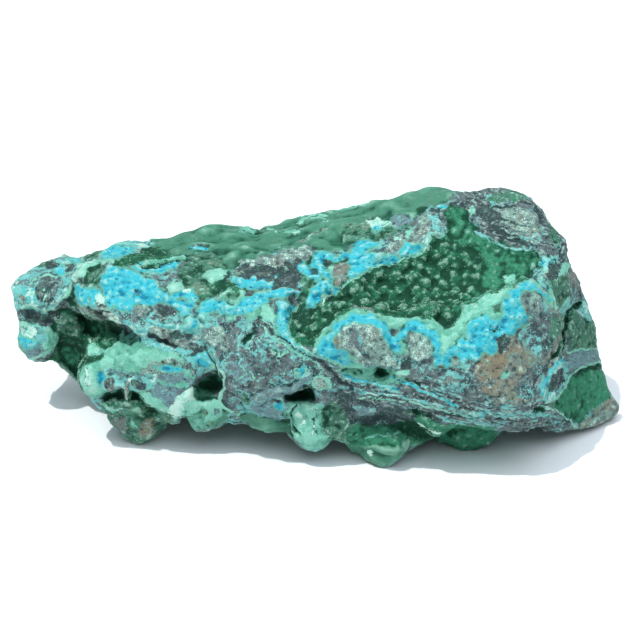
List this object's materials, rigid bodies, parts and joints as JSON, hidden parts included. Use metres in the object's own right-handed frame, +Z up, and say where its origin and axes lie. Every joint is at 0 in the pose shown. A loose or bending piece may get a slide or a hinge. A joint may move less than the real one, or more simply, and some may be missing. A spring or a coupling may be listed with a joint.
{
  "type": "chrysocolla specimen",
  "caption": "Rough hand specimen of chrysocolla and malachite on matrix rock, with an open druse on its upper face, resting on worn lobes.",
  "frame": {"origin": "centre of the bounding box's base, on the surface that the specimen rests on", "axes": "+X along the specimen's length towards its high end, +Y from the broken front face to the back, +Z up"},
  "size_m": [0.128, 0.0578, 0.0489],
  "materials": {
    "stone": "rough broken rock with silky malachite and waxy chrysocolla crusts"
  },
  "bodies": {
    "root": {"specimen": "stone"}
  },
  "joints": []
}
